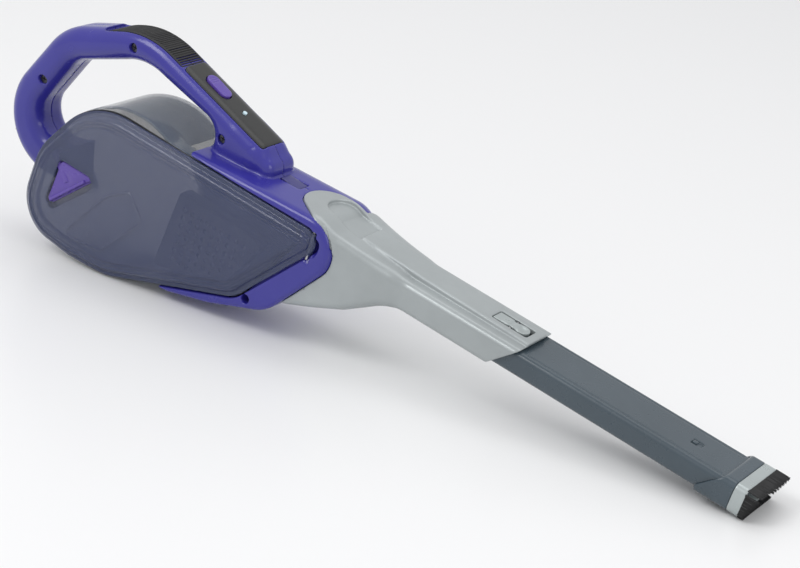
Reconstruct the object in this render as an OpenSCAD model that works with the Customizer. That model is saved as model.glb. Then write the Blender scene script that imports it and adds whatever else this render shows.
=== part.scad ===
// Cordless handheld vacuum with a side-opening dust bowl and a telescopic crevice tube.
// Everything is drawn along the nozzle: x runs forward along the tube, y away from the
// door side and z up. place() then pitches it nose down, so that the foot of the bowl and
// the brush both touch the ground at z = 0 and the origin is the middle of that foot.

/* [Body] */
// Half of the body's width across the two shells
half_w = 34; // [33:0.5:35]
// Radius of the teardrop body around its rear arc
rear_r = 58; // [57.5:0.25:58.5]
// Radius of the round dust bowl
bowl_r = 60; // [59.5:0.25:60.5]
// Width of the purple rim that frames the door at the front
rim_w = 12; // [11:0.5:13]
// Wall thickness of the housing
wall = 2.4; // [2:0.1:2.8]

/* [Handle] */
// Half of the handle's width
handle_half_w = 17; // [16.5:0.25:18]
// Thickness of the rubber grip and of the control panel
skin_t = 2.2; // [1.8:0.1:2.4]
// Number of ribs across the grip
grip_ribs = 16; // [10:1:18]

/* [Nozzle] */
// Outer width of the crevice tube
tube_w = 40; // [39:0.5:41]
// Outer height of the crevice tube
tube_h = 16; // [15.5:0.25:16.5]
// Wall thickness of the crevice tube
tube_wall = 1.6; // [1.4:0.1:2]
// Gap between the tube and what slides over it
tube_gap = 0.35; // [0.3:0.05:0.45]
// Forward end of the crevice tube
tube_end_x = 474; // [472:1:475]
// Rear end of the crevice tube when it is drawn out
tube_rear_x = 290; // [288:1:292]
// Number of bristle tufts along the top and the bottom of the brush
tufts_across = 18; // [12:1:20]

/* [Motor] */
// Radius of the motor can
motor_r = 18; // [17:0.5:18.5]
// Radius of the motor shaft
shaft_r = 1.5; // [1.4:0.05:1.6]
// Radius of the fan
fan_r = 23.6; // [22:0.2:23.8]
// Number of fan blades
fan_blades = 9; // [7:1:11]

/* [Battery] */
// Radius of one cell
cell_r = 7.1; // [6.9:0.05:7.15]
// Length of one cell
cell_len = 28.5; // [28:0.25:28.75]

/* [Fit] */
// Gap between separate pieces that move past each other
gap = 0.4; // [0.3:0.05:0.5]
// Angle between the nozzle and the ground at rest
pitch = 11.05; // [11:0.05:11.1]

/* [Hidden] */
$fn = 96;

// How far the end of each flat is tucked inside the circle that it meets
tuck = 0.005;

// Ground line below the centre of the rear arc, and the foot's place ahead of it
rest_h = 58.5;
foot_x = 8.6;
foot_l = 24;
foot_w = 35;

// Corner circles [x, z, radius] of each outline, counter-clockwise from the front
door_tip = [155, 49, 10];
rear_arc = [0, 0, rear_r];
rear_low = [-20, -12, 47.5];
rear_heel = [-39, -28, 30];
door_front = [102, 5, 25];
door_corners = [door_tip, rear_arc, rear_low, rear_heel, rear_low, rear_arc, door_front];
tray_tip = [141, 47, 9.5];
tray_corners = [tray_tip, rear_arc, rear_low, rear_heel, rear_low, rear_arc, door_front];
frame_corners = [[155, 44, 10 + rim_w], rear_arc, [88, -4, 32], [122, 12, 16 + rim_w]];
arch_front = [88, 70, 12];
arch_corners = [arch_front, [-12, 43, 65.5], [-52, 45, 47.5], [-72, 16, 43]];
gap_corners = [
  [42, 66, 13], [-8, 46, 43], [-52, 46, 23.5], [-72, 18, 18], [-64, 16, 14], [46, 56, 8]
];
nose_corners = [[214, 44, 12], [160, 58, 6], [148, 12, 15], [188, 24, 10]];
filter_corners = [[118, 24, 5], [56, 26, 4], [50, -26, 4], [100, -9, 5]];

// Layers across the body, from the door side
door_face_y = -38;
door_rim_y = -34;
seal_y = -31.4;
bowl_rim_y = -30;
tray_back_y = -18;
bowl_end_y = 33;
bowl_at = [8, 4];
bowl_wall = 2;
bowl_shoulder = 16;

// Nozzle line
tube_mid_z = 45;
sleeve_wall = 2;
sleeve_half_w = tube_w / 2 + tube_gap + sleeve_wall;
sleeve_half_h = tube_h / 2 + tube_gap + sleeve_wall;
sleeve_end_x = 316;
sleeve_start_x = 156;
end_slant = 45;
brush_x = 464;
band_x = 472;
band_end_x = 480;
brush_half_w = tube_w / 2 + tube_gap + 1.65;
brush_half_h = tube_h / 2 + tube_gap + 1.65;
bristle_len = 10;
duct_half_w = 17;
duct_half_h = 8.4;
duct_wall = 1.6;
duct_rear_x = 54;
flap_x = 70;
flap_z = 50.4;

// Fan and motor line, along y
fan_at = [100, 4];
shroud_r = 26.4;
shroud_y = -17.5;
can_front_y = -3;
can_back_y = 25;
intake_r = 13;

// Door hinge and latch
hinge_at = [160, -31];
hinge_z = [41, 57];
hinge_r = 2.8;
pin_r = 1.2;
pin_fit = 0.05;
latch_at = [-34.5, -8];
latch_angle = 47.5;
latch_travel = 3;
latch_half_l = 19;
latch_ridge_h = 1.2;
latch_arm_l = 23;

// Controls
button_at = [41.5, 97.6];
panel_slope = 17.4;
light_at = [66, 89.6];
light_r = 1.5;
floor_t = 1.4;
release_at = [117, 65];
lock_at = [297, 57.2];
lock_axis = lock_at - [0, 1];
socket_at = [-64, -28.6];
socket_r = 4.9;
// Side-view place of each housing screw and the radius of its head
screw_spots = [[-90, 40, 3], [-22, 97, 3], [64, 72, 3], [126, -11.5, 2.4]];
screw_r = 1.5;
boss_wall = 1.2;

// ---- Shared shapes ----

// Direction of the outer tangent's normal from corner circle a to corner circle b
function tangent_angle(a, b) =
  atan2(b.y - a.y, b.x - a.x) - 90 - asin((b[2] - a[2]) / norm([b.x - a.x, b.y - a.y]));

// Point just inside circle c, so that a flat's end meets the circle at a clean crossing
function on_circle(c, angle) = let (r = c[2] - tuck) [c.x + r * cos(angle), c.y + r * sin(angle)];

// Rounded outline around the corner circles, grown by grow, with no corner sharper than 0.5
module outline(corners, grow = 0) {
  n = len(corners);
  grown = [for (c = corners) [c.x, c.y, max(c[2] + grow, 0.5)]];
  for (c = grown)
    translate([c.x, c.y])
      circle(r = c[2]);
  polygon([
    for (i = [0 : n - 1])
      let (a = grown[i], b = grown[(i + 1) % n], t = tangent_angle(a, b))
        each [on_circle(a, t), on_circle(b, t)]
  ]);
}

// Plate between y0 and y1 whose side view is the child
module slab(y0, y1) {
  translate([0, y1, 0])
    rotate([90, 0, 0])
      linear_extrude(height = y1 - y0)
        children();
}

// Box from its low corner to its high corner
module box(lo, hi) {
  translate(lo)
    cube(hi - lo);
}

// Round bar along y at the side-view point at
module bar_y(at, r, y0, y1) {
  translate([at.x, y1, at.y])
    rotate([90, 0, 0])
      cylinder(r = r, h = y1 - y0);
}

module ring_y(at, r_out, r_in, y0, y1) {
  difference() {
    bar_y(at, r_out, y0, y1);
    bar_y(at, r_in, y0 - 1, y1 + 1);
  }
}

// Bar along x with a rounded rectangular section
module bar_x(x0, x1, half_y, half_z, r, mid_z = tube_mid_z) {
  translate([x0, 0, mid_z])
    rotate([90, 0, 90])
      linear_extrude(height = x1 - x0)
        union() {
          square([2 * half_y - 2 * r, 2 * half_z], center = true);
          square([2 * half_y, 2 * half_z - 2 * r], center = true);
          for (sy = [-1, 1], sz = [-1, 1])
            translate([sy * (half_y - r), sz * (half_z - r)])
              circle(r = r, $fn = 32);
        }
}

// Turns the nozzle frame nose down and sets it on the ground
module place() {
  translate([-foot_x, 0, rest_h])
    rotate([0, pitch, 0])
      children();
}

// Moves a piece drawn flat at the origin onto the slope of the handle at a side-view point
module on_panel(at) {
  translate([at.x, 0, at.y])
    rotate([0, panel_slope, 0])
      children();
}

// ---- Housing ----

module bowl_barrel(r, y0, y1, shoulder) {
  translate([bowl_at.x, y0, bowl_at.y])
    rotate([-90, 0, 0])
      rotate_extrude()
        union() {
          square([r - shoulder, y1 - y0]);
          square([r, y1 - y0 - shoulder]);
          translate([r - shoulder, y1 - y0 - shoulder])
            intersection() {
              circle(r = shoulder);
              square(shoulder + 1);
            }
        }
}

module arch_view(grow = 0) {
  difference() {
    outline(arch_corners, -grow);
    outline(gap_corners, grow);
    translate(bowl_at)
      circle(r = bowl_r + gap + grow);
    translate([56, -60])
      square([60, 110]);
  }
}

module frame_view(grow = 0) {
  difference() {
    outline(frame_corners, -grow);
    translate(bowl_at)
      circle(r = bowl_r + gap + grow);
    translate([-120, -100])
      square([174 + grow, 240]);
  }
}

// How deep a screw's head sits: the front screw is in the wide part of the body
function head_floor(spot) = spot.x > 100 ? -18 : -handle_half_w + 5;

module screw_boss(i) {
  spot = screw_spots[i];
  translate([spot.x, spot.y])
    circle(r = spot[2] + boss_wall);
}

// One half of the shell: side is -1 for the door side and 1 for the far side
module shell_half(side) {
  lo = min(0, side * half_w);
  hi = max(0, side * half_w);
  arch_lo = min(0, side * handle_half_w);
  arch_hi = max(0, side * handle_half_w);
  inner = side < 0 ? -tray_back_y - gap : half_w - wall;
  arch_inner = handle_half_w - wall;
  difference() {
    union() {
      slab(lo, hi)
        frame_view();
      slab(arch_lo, arch_hi)
        arch_view();
    }
    slab(side < 0 ? -inner : -1, side < 0 ? 1 : inner)
      difference() {
        frame_view(wall);
        screw_boss(3);
      }
    difference() {
      slab(side < 0 ? -arch_inner : -1, side < 0 ? 1 : arch_inner)
        difference() {
          arch_view(wall);
          for (i = [0 : 2])
            screw_boss(i);
        }
      skin_floor();
    }
    grip_strip(0);
    panel_strip(0);
    bar_x(140, 180, tube_w / 2 + tube_gap, tube_h / 2 + tube_gap, 4);
    bar_x(duct_rear_x - 6, 176, duct_half_w + 0.2, duct_half_h + 0.2, 3);
    button_well();
    release_well();
    socket_well();
    light_well();
    for (spot = screw_spots)
      bar_y(spot, screw_r + 0.1, -20, 12);
  }
}

// Hole for the tray of the bowl, its door and the hinge
module tray_pocket() {
  slab(-half_w - 1, bowl_rim_y - 0.2)
    outline(door_corners, gap);
  slab(-half_w, tray_back_y + gap)
    outline(tray_corners, gap);
  box([151, -half_w - 1, hinge_z[0] - 0.3], [166.5, hinge_at.y + 3.6, hinge_z[1] + 0.3]);
}

module housing_near() {
  color([0.24, 0.2, 0.6])
    place()
      difference() {
        shell_half(-1);
        tray_pocket();
        translate([hinge_at.x, hinge_at.y, hinge_z[0] - 6])
          cylinder(r = pin_r, h = hinge_z[1] - hinge_z[0] + 12);
        for (spot = screw_spots)
          bar_y(spot, spot[2] + 0.2, -half_w - 1, head_floor(spot));
      }
}

module housing_far() {
  color([0.22, 0.18, 0.55])
    place()
      difference() {
        shell_half(1);
        for (row = [-3 : 3], column = [0, 1])
          translate([fan_at.x - 19 + 20 * column, half_w - wall - 1, fan_at.y + 6 * row - 1.2])
            cube([16, wall + 2, 2.4]);
      }
}

// Wall under the grip and the panel
module skin_floor() {
  slab(-13.4, 13.4)
    difference() {
      intersection() {
        outline(arch_corners);
        translate([-54, 58])
          square([150, 70]);
      }
      outline(arch_corners, -skin_t - floor_t);
    }
}

module grip_strip(ribs) {
  width = 12;
  slab(-width, width)
    difference() {
      intersection() {
        outline(arch_corners, ribs > 0 ? -0.01 : 0.5);
        translate([-52, 60])
          square([70, 60]);
      }
      outline(arch_corners, -skin_t);
    }
}

module panel_strip(grow) {
  width = 12;
  slab(-width, width)
    difference() {
      intersection() {
        outline(arch_corners, grow > 0 ? -0.01 : 0.5);
        translate([18 + grow, 74])
          square([76 - grow, 46]);
      }
      outline(arch_corners, -skin_t);
    }
}

module handle_grip() {
  color([0.1, 0.1, 0.11])
    place()
      difference() {
        grip_strip(grip_ribs);
        for (i = [0 : grip_ribs - 1])
          let (angle = 62 + 56 * i / (grip_ribs - 1))
            translate([-12 + 65.9 * cos(angle), 0, 42 + 65.9 * sin(angle)])
              rotate([0, 90 - angle, 0])
                cube([1.4, 21, 1.6], center = true);
      }
}

module control_panel() {
  color([0.2, 0.2, 0.19])
    place()
      difference() {
        panel_strip(0.3);
        button_well();
        light_well();
      }
}

module housing_screws() {
  color([0.35, 0.35, 0.37])
    place()
      for (spot = screw_spots)
        difference() {
          union() {
            bar_y(spot, spot[2], head_floor(spot) - 2.2, head_floor(spot));
            bar_y(spot, screw_r, head_floor(spot), 11);
          }
          translate([spot.x, head_floor(spot) - 2, spot.y])
            for (turn = [0, 90])
              rotate([0, turn, 0])
                cube([3.6, 1.6, 0.7], center = true);
        }
}

// ---- Dust bowl ----

module bowl_outer() {
  slab(bowl_rim_y, tray_back_y)
    outline(tray_corners);
  bowl_barrel(bowl_r, bowl_rim_y, bowl_end_y, bowl_shoulder);
}

module dust_bowl() {
  color([0.3, 0.36, 0.45, 0.45])
    place() {
      bowl_keeper();
      difference() {
        bowl_outer();
        slab(bowl_rim_y - 1, tray_back_y - bowl_wall)
          outline(tray_corners, -bowl_wall);
        bowl_barrel(bowl_r - bowl_wall, bowl_rim_y - 1, bowl_end_y - bowl_wall, bowl_shoulder - bowl_wall);
        bar_y(fan_at, intake_r, tray_back_y - 4, tray_back_y + 4);
        bar_x(30, 78, duct_half_w + 0.2, duct_half_h + 0.2, 3);
      }
    }
}

// Keeper inside the bowl's rim that the end of the latch closes onto
module bowl_keeper() {
  intersection() {
    latch_place()
      box([-4, bowl_rim_y + 0.4, latch_arm_l - 2], [4, bowl_rim_y + 4, 36]);
    slab(bowl_rim_y, tray_back_y)
      outline(tray_corners, -0.5);
  }
}

// Flat foot moulded under the bowl, level with the ground
module bowl_foot() {
  color([0.16, 0.17, 0.2])
    difference() {
      translate([-foot_l / 2, -foot_w / 2, 0])
        cube([foot_l, foot_w, 5]);
      place()
        bar_y(bowl_at, bowl_r + 0.01, -half_w, half_w, $fn = 720);
    }
}

// ---- Nozzle ----

module nozzle_plan() {
  translate([0, 0, -20])
    linear_extrude(height = 100)
      polygon([
        [100, -31], [172, -31], [232, -sleeve_half_w], [340, -sleeve_half_w],
        [340, sleeve_half_w], [232, sleeve_half_w], [172, 31], [100, 31]
      ]);
}

module sleeve_bar(grow = 0) {
  bar_x(sleeve_start_x, sleeve_end_x + 8, sleeve_half_w + grow, sleeve_half_h + grow, 5);
}

module sleeve_spine() {
  slab(-12, 12)
    polygon([[150, 50], [316, 50], [316, 57.6], [236, 59], [150, 63]]);
}

// Cuts the sleeve's open end on a slant, longer on top
module slant_cut(x, depth) {
  translate([x, 0, tube_mid_z + sleeve_half_h])
    rotate([0, end_slant, 0])
      translate([0, -40, -60])
        cube([40, 80, 120]);
  box([x, -40, 0], [x + depth, 40, 100]);
}

module nozzle_housing() {
  color([0.7, 0.74, 0.74])
    place()
      difference() {
        union() {
          intersection() {
            slab(-32, 32)
              outline(nose_corners);
            nozzle_plan();
          }
          sleeve_bar();
          sleeve_spine();
        }
        difference() {
          intersection() {
            slab(-29, 29)
              outline(nose_corners, -wall);
            bar_x(100, 228, sleeve_half_w, 40, 6, mid_z = 30);
          }
          sleeve_bar();
          sleeve_spine();
        }
        bar_x(100, 340, tube_w / 2 + tube_gap, tube_h / 2 + tube_gap, 4);
        slab(-half_w, half_w)
          outline(frame_corners, gap / 2);
        slant_cut(sleeve_end_x, 20);
        lock_well();
        release_well();
      }
}

module inlet_duct() {
  color([0.25, 0.25, 0.5])
    place()
      difference() {
        bar_x(duct_rear_x, 150, duct_half_w, duct_half_h, 3);
        bar_x(duct_rear_x - 1, 151, duct_half_w - duct_wall, duct_half_h - duct_wall, 1.6);
        bar_y([flap_x, flap_z], 0.8 + pin_fit, -duct_half_w - 1, duct_half_w + 1);
      }
}

// Rubber flap that keeps the dust from falling back into the nozzle
module inlet_flap() {
  half = duct_half_w - duct_wall - 0.4;
  color([0.12, 0.12, 0.13])
    place()
      union() {
        box([flap_x - 0.6, -half, flap_z - 11.6], [flap_x + 0.6, half, flap_z]);
        bar_y([flap_x, flap_z], 0.8, -duct_half_w + 0.2, duct_half_w - 0.2);
      }
}

// ---- Filter ----

module filter_frame() {
  color([0.42, 0.44, 0.4])
    place()
      difference() {
        slab(-28.4, -20.2)
          outline(filter_corners);
        slab(-27, -19)
          outline(filter_corners, -2.4);
        slab(-29, -26)
          outline(filter_corners, -5);
      }
}

module filter_pleats() {
  pitch_x = 4;
  color([0.85, 0.85, 0.8])
    place()
      intersection() {
        slab(-26.9, -20.3)
          outline(filter_corners, -2.5);
        union() {
          for (i = [0 : 19])
            translate([50 + pitch_x * i, 0, 0])
              box([0, -26.9, -40], [1.8, -20.3, 40]);
          box([50, -22.3, -40], [130, -20.3, 40]);
        }
      }
}

module filter_screen() {
  color([0.55, 0.56, 0.55])
    place()
      difference() {
        slab(-29.2, -28.5)
          outline(filter_corners, -1);
        for (column = [0 : 9], row = [0 : 6])
          bar_y([60 + 6.4 * column, -18 + 6.2 * row], 1.8, -30, -28);
      }
}

// ---- Fan and motor ----

module fan_shroud() {
  color([0.14, 0.14, 0.15])
    place()
      difference() {
        bar_y(fan_at, shroud_r, shroud_y, can_front_y - 1);
        bar_y(fan_at, shroud_r - 1.8, shroud_y + 1.8, can_front_y);
        bar_y(fan_at, intake_r - 1, shroud_y - 1, shroud_y + 3);
      }
}

module fan_impeller() {
  back_y = can_front_y - 3;
  color([0.8, 0.8, 0.82])
    place()
      difference() {
        union() {
          bar_y(fan_at, fan_r, back_y - 1.4, back_y);
          bar_y(fan_at, 5, back_y - 8, back_y - 1);
          for (i = [0 : fan_blades - 1])
            translate([fan_at.x, 0, fan_at.y])
              rotate([0, 360 * i / fan_blades, 0])
                intersection() {
                  ring_y([-14, 12], 19, 17.8, back_y - 7, back_y - 1);
                  bar_y([0, 0], fan_r - 0.5, back_y - 8, back_y);
                  box([-30, -40, -30], [2, 40, 30]);
                }
        }
        bar_y(fan_at, shaft_r, -30, 10);
      }
}

module motor_can() {
  color([0.6, 0.62, 0.64])
    place()
      difference() {
        bar_y(fan_at, motor_r, can_front_y, can_back_y);
        bar_y(fan_at, motor_r - 1.5, can_front_y + 1.5, can_back_y - 1.5);
        bar_y(fan_at, 4, can_front_y - 1, can_back_y + 1);
        for (i = [0 : 5])
          translate([fan_at.x, 0, fan_at.y])
            rotate([0, 60 * i, 0])
              bar_y([11, 0], 2.2, can_back_y - 3, can_back_y + 1);
      }
}

module motor_magnets() {
  color([0.25, 0.25, 0.27])
    place()
      difference() {
        ring_y(fan_at, motor_r - 1.5, motor_r - 4, can_front_y + 4, can_back_y - 5);
        box([fan_at.x - 30, -10, fan_at.y - 3], [fan_at.x + 30, 40, fan_at.y + 3]);
      }
}

module motor_bracket() {
  color([0.18, 0.18, 0.2])
    place()
      union() {
        ring_y(fan_at, shroud_r - 2, motor_r, 9, 13);
        for (angle = [20, 140, 260])
          bar_y([fan_at.x + 23 * cos(angle), fan_at.y + 23 * sin(angle)], 2.6, 13, half_w - wall);
      }
}

module motor_bearings() {
  color([0.8, 0.7, 0.4])
    place() {
      ring_y(fan_at, 4, shaft_r + pin_fit, can_front_y, can_front_y + 4);
      ring_y(fan_at, 4, shaft_r + pin_fit, can_back_y - 4, can_back_y);
    }
}

module motor_shaft() {
  color([0.75, 0.75, 0.78])
    place()
      bar_y(fan_at, shaft_r, can_front_y - 12, can_back_y - 0.5);
}

module motor_armature() {
  slots = 5;
  color([0.72, 0.42, 0.2])
    place()
      difference() {
        union() {
          bar_y(fan_at, motor_r - 5, can_front_y + 5, can_back_y - 8);
          bar_y(fan_at, 5, can_back_y - 8, can_back_y - 4.5);
        }
        for (i = [0 : slots - 1])
          translate([fan_at.x, 0, fan_at.y])
            rotate([0, 360 * i / slots, 0])
              box([8, -10, -1], [20, can_back_y - 7.5, 1]);
        bar_y(fan_at, shaft_r, -30, 40);
      }
}

// ---- Battery and electronics ----

// Middle [x, z] and lean of each pair of cells, from the leg of the handle up to the grip
cell_pairs = [[-99.2, 9.4, -2.5], [-82.4, 61.1, 28], [-49.8, 84.7, 65]];

module cell_place(pair) {
  middle = [cell_pairs[pair].x, cell_pairs[pair].y];
  lean = cell_pairs[pair][2];
  translate([middle.x, 0, middle.y])
    rotate([0, lean, 0])
      children();
}

module battery_cells() {
  color([0.2, 0.55, 0.4])
    place()
      for (pair = [0 : 2], side = [-1, 1])
        cell_place(pair)
          translate([0, side * (cell_r + 0.1), -cell_len / 2]) {
            cylinder(r = cell_r, h = cell_len - 1.5);
            translate([0, 0, cell_len - 1.5])
              cylinder(r = 2.6, h = 1.5, $fn = 48);
          }
}

module battery_holder() {
  cap_t = 2;
  color([0.1, 0.1, 0.1])
    place()
      for (pair = [0 : 2], end = [-1, 1])
        cell_place(pair)
          difference() {
            translate([0, 0, end * (cell_len + cap_t + 0.2) / 2])
              cube([12.5, 4 * cell_r, cap_t], center = true);
            for (side = [-1, 1])
              translate([0, side * (cell_r + 0.15), end * (cell_len + cap_t) / 2])
                cylinder(r = 2, h = cap_t + 2, center = true, $fn = 48);
          }
}

module circuit_board() {
  color([0.1, 0.4, 0.2])
    place()
      on_panel([44, 96.8]) {
        difference() {
          translate([-22, -9, -13.5])
            cube([46, 18, 1.6]);
          for (x = [-20, 22], y = [-7, 7])
            translate([x, y, -15])
              cylinder(r = 1, h = 5, $fn = 48);
        }
        translate([13, -5, -11.9])
          cube([9, 6, 2.4]);
        translate([-20, 1, -11.9])
          cube([6, 6, 4]);
      }
}

module power_switch() {
  color([0.15, 0.15, 0.16])
    place()
      on_panel(button_at) {
        translate([-3.2, -3, -11.8])
          cube([6.4, 6, 3.8]);
      }
}

// Places the charging socket under the heel of the handle, its mouth at local z = 0
module socket_place() {
  translate([socket_at.x, 0, socket_at.y])
    rotate([0, 180, 0])
      children();
}

module socket_well() {
  socket_place()
    translate([0, 0, -wall - 4])
      cylinder(r = socket_r + 0.1, h = 12);
}

module charge_socket() {
  color([0.08, 0.08, 0.09])
    place()
      socket_place()
        difference() {
          translate([0, 0, -12.5])
            cylinder(r = socket_r, h = 12.5);
          translate([0, 0, -10])
            cylinder(r = 2.75, h = 11);
        }
}

module light_well() {
  on_panel(light_at)
    translate([0, 0, -8])
      cylinder(r = light_r + 0.05, h = 12, $fn = 48);
}

module charge_light() {
  color([0.8, 0.95, 1])
    place()
      on_panel(light_at)
        translate([0, 0, -6])
          cylinder(r = light_r, h = 6, $fn = 48);
}

// ---- Controls ----

module button_well() {
  on_panel(button_at)
    translate([-10.5 - gap, -5 - gap, -8])
      cube([21 + 2 * gap, 10 + 2 * gap, 14]);
}

module power_button() {
  color([0.5, 0.42, 0.84])
    place()
      on_panel(button_at)
        union() {
          translate([-10.5, -5, -3.4])
            cube([21, 10, 3.2]);
          translate([-2, -2, -6.2])
            cube([4, 4, 3]);
        }
}

module release_well() {
  translate([release_at.x, 0, release_at.y])
    rotate([0, 3, 0])
      translate([-8 - gap, -5 - gap, -8])
        cube([16 + 2 * gap, 10 + 2 * gap, 12]);
}

module release_button() {
  color([0.1, 0.1, 0.3])
    place()
      translate([release_at.x, 0, release_at.y])
        rotate([0, 3, 0])
          translate([-8, -5, -4.6])
            cube([16, 10, 4]);
}

// Compression spring along z: a five-sided wire swept around a helix
module coil(r, wire_r, turns, rise) {
  per_turn = 14;
  steps = per_turn * turns;
  sides = 5;
  points = [
    for (i = [0 : steps], j = [0 : sides - 1])
      let (turn = 360 * i / per_turn, side = 360 * j / sides, reach = r + wire_r * cos(side))
        [reach * cos(turn), reach * sin(turn), rise * i / per_turn + wire_r * sin(side)]
  ];
  walls = [
    for (i = [0 : steps - 1], j = [0 : sides - 1])
      let (k = (j + 1) % sides)
        [i * sides + j, i * sides + k, (i + 1) * sides + k, (i + 1) * sides + j]
  ];
  polyhedron(points, concat(
    walls,
    [[for (j = [sides - 1 : -1 : 0]) j]],
    [[for (j = [0 : sides - 1]) steps * sides + j]]
  ));
}

module button_springs() {
  color([0.75, 0.75, 0.78])
    place() {
      on_panel(button_at)
        for (x = [-7, 7])
          translate([x, 0, -11.3])
            coil(1.7, 0.3, 5, 1.1);
      translate([release_at.x, 0, tube_mid_z + duct_half_h + 0.4])
        coil(2.2, 0.35, 4, 1);
    }
}

// ---- Door ----

module latch_place() {
  translate([latch_at.x, 0, latch_at.y])
    rotate([0, -latch_angle, 0])
      children();
}

// Rounded triangle of the latch in its own plane, ridge side at the bottom
module latch_view(grow = 0) {
  outline([[latch_half_l, -5, 3], [4, 11, 3], [-latch_half_l, -5, 3]], grow);
}

// Recess that the latch slides in, longer by its travel on the ridge side
module latch_recess(grow) {
  latch_view(grow);
  translate([0, -latch_travel])
    latch_view(grow);
  translate([-latch_half_l, -8 - latch_travel - grow])
    square([2 * latch_half_l, 8]);
}

module bowl_door() {
  color([0.3, 0.36, 0.45, 0.45])
    place()
      difference() {
        union() {
          difference() {
            union() {
              slab(door_rim_y, seal_y)
                outline(door_corners, -0.6);
              slab(door_face_y, door_rim_y)
                outline(door_corners, -9);
            }
            slab(door_face_y + 2, seal_y + 1)
              outline(door_corners, -11.2);
            box([156.5, -40, 30], [170, -20, 70]);
            box([148, -40, 57 - 0.2], [170, -20, 70]);
            box([148, -40, 30], [170, -20, 41.2]);
          }
          translate([hinge_at.x, hinge_at.y, hinge_z[0]])
            cylinder(r = hinge_r, h = hinge_z[1] - hinge_z[0], $fn = 48);
          box([150, door_rim_y, 43], [hinge_at.x, seal_y, 55]);
          latch_place()
            slab(door_face_y + 0.5, door_face_y + 6)
              latch_recess(2.6);
        }
        translate([hinge_at.x, hinge_at.y, 30])
          cylinder(r = pin_r + pin_fit, h = 40, $fn = 48);
        latch_place()
          slab(door_face_y - 1, door_face_y + 4.4)
            latch_recess(0.8);
        latch_place()
          box([-2.5, door_face_y + 1.2, -6], [2.5, door_face_y + 10, latch_arm_l + 2]);
      }
}

module door_seal() {
  color([0.08, 0.08, 0.09])
    place()
      difference() {
        slab(seal_y, bowl_rim_y - 0.3)
          outline(tray_corners, -0.2);
        slab(seal_y - 1, bowl_rim_y)
          outline(tray_corners, -2.4);
      }
}

module door_hinge_pin() {
  color([0.7, 0.7, 0.72])
    place()
      translate([hinge_at.x, hinge_at.y, hinge_z[0] - 5.8])
        cylinder(r = pin_r, h = hinge_z[1] - hinge_z[0] + 11.6, $fn = 48);
}

module door_latch() {
  color([0.38, 0.3, 0.7])
    place()
      latch_place()
        union() {
          slab(door_face_y + 1.6, door_face_y + 4)
            latch_view(-0.2);
          box([-latch_half_l, door_face_y - latch_ridge_h, -6.5], [latch_half_l - 1, door_face_y + 2, -4]);
          box([-2, door_face_y + 1.6, 0], [2, door_face_y + 4, latch_arm_l]);
          box([-2, door_face_y + 1.6, latch_arm_l - 2.5], [2, bowl_rim_y - 0.4, latch_arm_l]);
        }
}

module latch_spring() {
  color([0.75, 0.75, 0.78])
    place()
      latch_place()
        translate([0, door_face_y + 5.2, 11.3])
          coil(0.8, 0.2, 6, 0.7);
}

// ---- Crevice tube and brush ----

module crevice_tube() {
  color([0.36, 0.41, 0.46])
    place()
      difference() {
        bar_x(tube_rear_x, tube_end_x, tube_w / 2, tube_h / 2, 4);
        bar_x(tube_rear_x - 1, tube_end_x + 1, tube_w / 2 - tube_wall, tube_h / 2 - tube_wall, 2.6);
        box([431.5, -3, 52], [438.5, 3, 60]);
        for (side = [-1, 1])
          box([320, side * 15.5 - 0.8, tube_mid_z + tube_h / 2 - 0.5], [460, side * 15.5 + 0.8, 60]);
      }
}

module lock_well() {
  box([lock_at.x - 13.4, -6.4, 53], [lock_at.x + 13.4, 6.4, 70]);
  bar_y(lock_axis, 1 + pin_fit, -9.2, 9.2);
}

module tube_lock() {
  color([0.66, 0.7, 0.7])
    place()
      difference() {
        slab(-6, 6)
          outline([
            [lock_at.x + 11, 56.2, 1.4],
            [lock_at.x - 11, 56.4, 1.4],
            [lock_at.x, 55.9, 1.6]
          ]);
        bar_y(lock_axis, 1 + pin_fit, -10, 10);
      }
}

module tube_lock_pin() {
  color([0.6, 0.6, 0.62])
    place()
      bar_y(lock_axis, 1, -9, 9);
}

module brush_ring(x0, x1) {
  difference() {
    bar_x(x0, x1, brush_half_w, brush_half_h, 5);
    bar_x(x0 - 1, x1 + 1, tube_w / 2 + tube_gap, tube_h / 2 + tube_gap, 4);
  }
}

module brush_collar() {
  color([0.3, 0.34, 0.38])
    place()
      difference() {
        brush_ring(450, band_x);
        translate([brush_x, 0, tube_mid_z + brush_half_h])
          rotate([0, end_slant, 0])
            translate([-40, -40, -60])
              cube([40, 80, 120]);
      }
}

module brush_band() {
  color([0.72, 0.75, 0.75])
    place()
      brush_ring(band_x, band_end_x);
}

// Row of tufts on a thin root strip, along y or along z
module comb(mid, half_span, count, upright, length) {
  strip = upright ? [0.8, 1.4, 2 * half_span + 1.4] : [0.8, 2 * half_span + 1.4, 1.4];
  translate([band_end_x + 0.4, mid.x, mid.y])
    cube(strip, center = true);
  for (i = [0 : count - 1]) {
    step = -half_span + 2 * half_span * i / (count - 1);
    translate([band_end_x, mid.x + (upright ? 0 : step), mid.y + (upright ? step : 0)])
      rotate([0, 90, 0])
        cylinder(r = 0.7, h = length, $fn = 16);
  }
}

module bristles() {
  rise = brush_half_h - 0.8;
  reach = brush_half_w - 0.8;
  color([0.05, 0.05, 0.06])
    place() {
      comb([0, tube_mid_z + rise], reach - 4.5, tufts_across, false, bristle_len);
      comb([0, tube_mid_z - rise], reach - 4.5, tufts_across, false, bristle_len - 6);
      for (side = [-1, 1])
        comb([side * reach, tube_mid_z], rise - 4.5, 5, true, bristle_len - 4);
    }
}

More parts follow.
